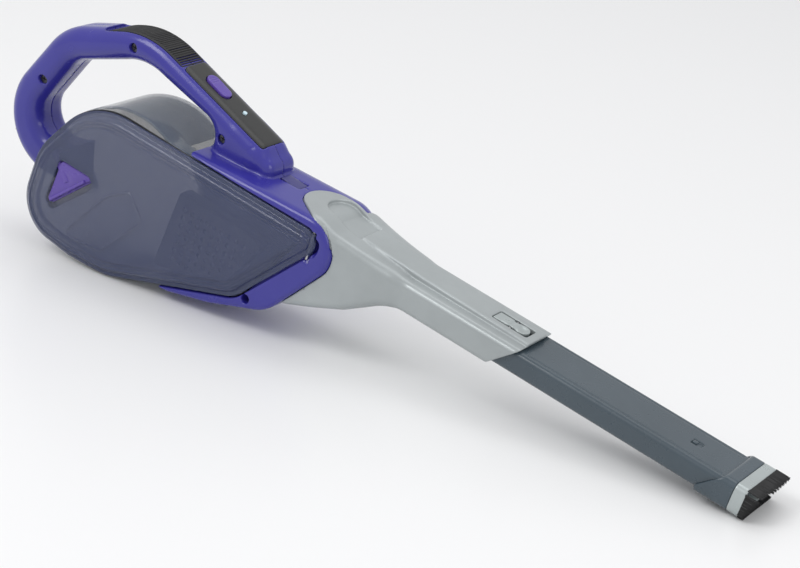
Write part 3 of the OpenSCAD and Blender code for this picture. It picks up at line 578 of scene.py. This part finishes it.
def nozzle(X, Y, Z):
    plan = polygon(X, Y, [(100, -31), (172, -31), (232, -SLEEVE_HALF_W), (340, -SLEEVE_HALF_W),
                          (340, SLEEVE_HALF_W), (232, SLEEVE_HALF_W), (172, 31), (100, 31)])
    nose = both(outline(X, Z, NOSE, 0.0), plan, np.where(Y > 0, 13.0, 6.0))
    sleeve = bar_x(X, Y, Z, 156, 330, SLEEVE_HALF_W, SLEEVE_HALF_H, 5)
    d = either(nose, sleeve, 7.0)
    spine = polygon(X, Z, SPINE)
    d = either(d, both(spine, np.abs(Y) - 12, 1.6), 1.2)
    lap = np.maximum(tongue_shape(X, Y, Z), -(slab(outline(X, Z, FRAME, -2.2), Y, -31, 31, 8.0)))
    d = either(d, np.maximum(lap, X - 186), 4.0)
    # round-ended channel that the spine runs out of
    floor = np.maximum(-1.3 - outline(X, Z, FRAME), 62.6 - 0.148 * (X - 160) - Z)
    channel = both(outline(X, Y, [(260, 0, 12.5), (160.5, -0.5, 12.5)]), np.maximum(floor, X - 183), 1.0)
    d = less(d, channel, 1.0)
    # finger ridges on the near corner
    for i in range(4):
        rib = np.sqrt((X - 163 - 3.4 * i) ** 2 + (Y + 31.5) ** 2) - 1.3
        d = less(d, np.maximum(rib, np.abs(Z - 46) - 7), 0.5)
    # hollow
    hollow = np.maximum(outline(X, Z, NOSE, -WALL), np.abs(Y) - SLEEVE_HALF_W)
    hollow = np.maximum(hollow, -sleeve)
    hollow = np.maximum(hollow, -spine)
    d = np.maximum(d, -hollow)
    d = less(d, bar_x(X, Y, Z, 100, 345, 20.35, 8.35, 4), 0.4)
    keep = outline(X, Z, FRAME, 0.25)
    d = np.maximum(d, -np.maximum(keep, -tongue_shape(X, Y, Z, -0.05)))
    d = np.maximum(d, -outline(X, Z, FRAME, -2.6))
    # slanted mouth of the sleeve, longer on top
    d = both(d, ((X - SLEEVE_END) - (Z - TUBE_Z - SLEEVE_HALF_H)) * 0.7071, 0.8)
    d = both(d, X - SLEEVE_END, 0.8)
    # wells for the lock and the release button
    d = less(d, block(X, Y, Z, (297, 0, 61.5), (13.4, 6.4, 8.5), 1.6), 0.6)
    d = np.maximum(d, -np.maximum(circle(X, Z, LOCK_PIN + (1.05,)), np.abs(Y) - 9.2))
    a, b = turned(X, Z, RELEASE_AT, RELEASE_SLOPE)
    d = np.maximum(d, -block(a, Y, b, (0, 0, 0), (8.4, 5.4, 8), 1))
    return d


place(carve("nozzle_skin", (128, -33, -6), (318, 33, 69), 0.5, nozzle), "body", silver,
      "silver_plastic", "nozzle_housing")


def tube(X, Y, Z):
    d = bar_x(X, Y, Z, 290, 474, 20, 8, 4, end_r=0.5)
    d = less(d, bar_x(X, Y, Z, 280, 484, 18.4, 6.4, 2.6), 0.4)
    for side in (-1, 1):
        groove = np.sqrt((Y - side * 15.5) ** 2 + (Z - 53.2) ** 2) - 0.85
        d = less(d, np.maximum(groove, np.abs(X - 390) - 70), 0.3)
    # sunk catch window with a small clip in it
    d = less(d, block(X, Y, Z, (435, 0, 53.4), (3.6, 3.2, 1.5), 0.4), 0.3)
    return either(d, block(X, Y, Z, (433.4, 0, 52.2), (1.6, 1.6, 1.1), 0.3), 0.2)


place(carve("tube_skin", (288, -21.5, 35), (476, 21.5, 55), 0.45, tube), "tube", slate,
      "slate_plastic", "crevice_tube")


def lock(X, Y, Z):
    front = both(circle(X, Y, (303.5, 0, 5.4)), np.abs(Z - 56.6) - 1.2, 0.5)
    rear = block(X, Y, Z, (289.5, 0, 56.6), (5.4, 4.9, 1.2), 0.5)
    waist = block(X, Y, Z, (297, 0, 56.4), (6, 3.9, 1.3), 0.5)
    d = either(either(front, rear, 1.5), waist, 1.5)
    dish = np.sqrt((X - 304.5) ** 2 + Y ** 2 + (Z - 64.4) ** 2) - 7.4
    d = less(d, dish, 0.4)
    return np.maximum(d, -(circle(X, Z, LOCK_PIN + (1.05,))))


place(carve("tube_lock_skin", (282, -6.8, 53.5), (312, 6.8, 59.5), 0.25, lock), "tube_lock", band_mat,
      "slate_plastic", "tube_lock")

# ---- Brush ----

def brush_ring(X, Y, Z, x0, x1):
    d = bar_x(X, Y, Z, x0, x1, 22, 10, 5, end_r=0.7)
    return less(d, bar_x(X, Y, Z, x0 - 9, x1 + 9, 20.35, 8.35, 4), 0.3)


def collar(X, Y, Z):
    d = brush_ring(X, Y, Z, 449, 471.95)
    cut = (464 - X) + (Z - TUBE_Z - 10)
    return both(d, cut * 0.7071, 0.7)


def band(X, Y, Z):
    return brush_ring(X, Y, Z, 472.05, 480)


place(carve("brush_collar_skin", (440, -23.5, 34), (473, 23.5, 56), 0.35, collar), "brush", slate,
      "slate_plastic", "brush_collar")
place(carve("brush_band_skin", (471, -23.5, 34), (481.5, 23.5, 56), 0.35, band), "brush", band_mat,
      "silver_plastic", "brush_band")


def bristle_field():
    """Thin tapered hairs in clumps around the mouth of the brush."""
    rng = np.random.default_rng(7)
    verts, faces = [], []

    def hair(y, z, length, lean_y, lean_z, r):
        base = len(verts)
        for k, reach in ((0.0, 1.0), (0.6, 0.85), (1.0, 0.35)):
            x = 479.6 + length * k
            for j in range(4):
                t = math.pi / 2 * j
                out_y, out_z = r * reach * math.cos(t), r * reach * math.sin(t)
                verts.append((x, y + lean_y * k * k + out_y, z + lean_z * k * k + out_z))
        for ring in (0, 4):
            for j in range(4):
                k = (j + 1) % 4
                faces.append((base + ring + j, base + ring + k, base + ring + 4 + k, base + ring + 4 + j))
        faces.append((base + 3, base + 2, base + 1, base))
        faces.append((base + 8, base + 9, base + 10, base + 11))

    def clump(y, z, length, wide_y, wide_z, count):
        for _ in range(count):
            dy, dz = rng.uniform(-1, 1), rng.uniform(-1, 1)
            hair(y + dy * wide_y, z + dz * wide_z, length * rng.uniform(0.93, 1.0),
                 rng.normal(0, 0.25), rng.normal(0, 0.15), rng.uniform(0.13, 0.2))

    for i in range(19):
        y = -19.0 + 38.0 * i / 18
        clump(y, TUBE_Z + 9.15, 10.0, 0.95, 0.45, 34)
        clump(y, TUBE_Z - 9.15, 4.2, 0.95, 0.45, 30)
    for i in range(7):
        z = TUBE_Z - 6.6 + 13.2 * i / 6
        long = 4.4 + 5.2 * i / 6
        for side in (-1, 1):
            clump(side * 21.15, z, long, 0.45, 0.85, 30)
    mesh = bpy.data.meshes.new("bristle_hairs")
    mesh.from_pydata(to_world(np.array(verts)).tolist(), [], faces)
    return finish_mesh("bristle_hairs", mesh, sharp=60)


place(bristle_field(), "brush", bristle_mat, "bristle_black", "bristles")

# ---- CAD nodes that keep their shape ----

LOOKS = {
    "housing_screws": dark_steel, "bowl_foot": soft_rubber, "inlet_duct": indigo, "inlet_flap": soft_rubber,
    "filter_frame": filter_grey, "filter_pleats": paper, "filter_screen": mesh_steel, "fan_shroud": black,
    "motor_can": steel, "motor_magnets": magnet, "motor_bracket": black, "motor_bearings": brass,
    "motor_shaft": steel, "motor_armature": copper, "fan_impeller": fan_mat, "battery_cells": wrap,
    "battery_holder": black, "circuit_board": board, "power_switch": black, "charge_socket": black,
    "charge_light": lens, "button_springs": steel, "door_seal": soft_rubber, "door_hinge_pin": steel,
    "latch_spring": steel, "tube_lock_pin": steel,
}
for node, look in LOOKS.items():
    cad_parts[node].data.materials.clear()
    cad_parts[node].data.materials.append(look)

# ---- Stage ----

floor_mesh = bpy.data.meshes.new("floor")
floor_corners = [(x, y, -0.0004) for x, y in ((-6, -6), (6, -6), (6, 6), (-6, 6))]
floor_mesh.from_pydata(floor_corners, [], [(0, 1, 2, 3)])
floor = bpy.data.objects.new("floor", floor_mesh)
bpy.context.scene.collection.objects.link(floor)
floor_look = bpy.data.materials.new("pale floor")
floor_look.use_nodes = True
floor_bsdf = floor_look.node_tree.nodes["Principled BSDF"]
floor_bsdf.inputs["Base Color"].default_value = (0.86, 0.86, 0.86, 1)
floor_bsdf.inputs["Roughness"].default_value = 0.3
floor_bsdf.inputs["Specular IOR Level"].default_value = 0.25
floor_mesh.materials.append(floor_look)

world = bpy.data.worlds.new("pale room")
bpy.context.scene.world = world
world.use_nodes = True
world.node_tree.nodes["Background"].inputs["Color"].default_value = (0.98, 0.985, 1.0, 1)
world.node_tree.nodes["Background"].inputs["Strength"].default_value = 0.78


def soft_light(name, at, aim, size, watts):
    data = bpy.data.lights.new(name, "AREA")
    data.shape = "RECTANGLE"
    data.size, data.size_y = size
    data.energy = watts
    obj = bpy.data.objects.new(name, data)
    bpy.context.scene.collection.objects.link(obj)
    obj.location = at
    obj.rotation_euler = (Vector(aim) - Vector(at)).to_track_quat("-Z", "Y").to_euler()


soft_light("key", (-0.6, -1.2, 1.7), (0.15, 0, 0.08), (1.1, 0.8), 13)
soft_light("top", (0.3, 0.5, 1.9), (0.15, 0, 0.05), (1.6, 0.9), 5)
soft_light("fill", (1.7, -0.5, 0.9), (0.2, 0, 0.08), (0.8, 0.8), 4)

lens_data = bpy.data.cameras.new("camera")
lens_data.lens = 96.6
lens_data.sensor_width = 36.0
lens_data.clip_start = 0.01
camera = bpy.data.objects.new("camera", lens_data)
bpy.context.scene.collection.objects.link(camera)
right = Vector((0.82236, 0.55493, 0.12561))
up = Vector((-0.30752, 0.24777, 0.91872))
back = Vector((0.4787, -0.79415, 0.3744))
turn = Matrix((right, up, back)).transposed().to_4x4()
turn.translation = Vector((0.865, -1.0893, 0.5702))
camera.matrix_world = turn
bpy.context.scene.camera = camera
bpy.context.scene.view_settings.view_transform = "Standard"
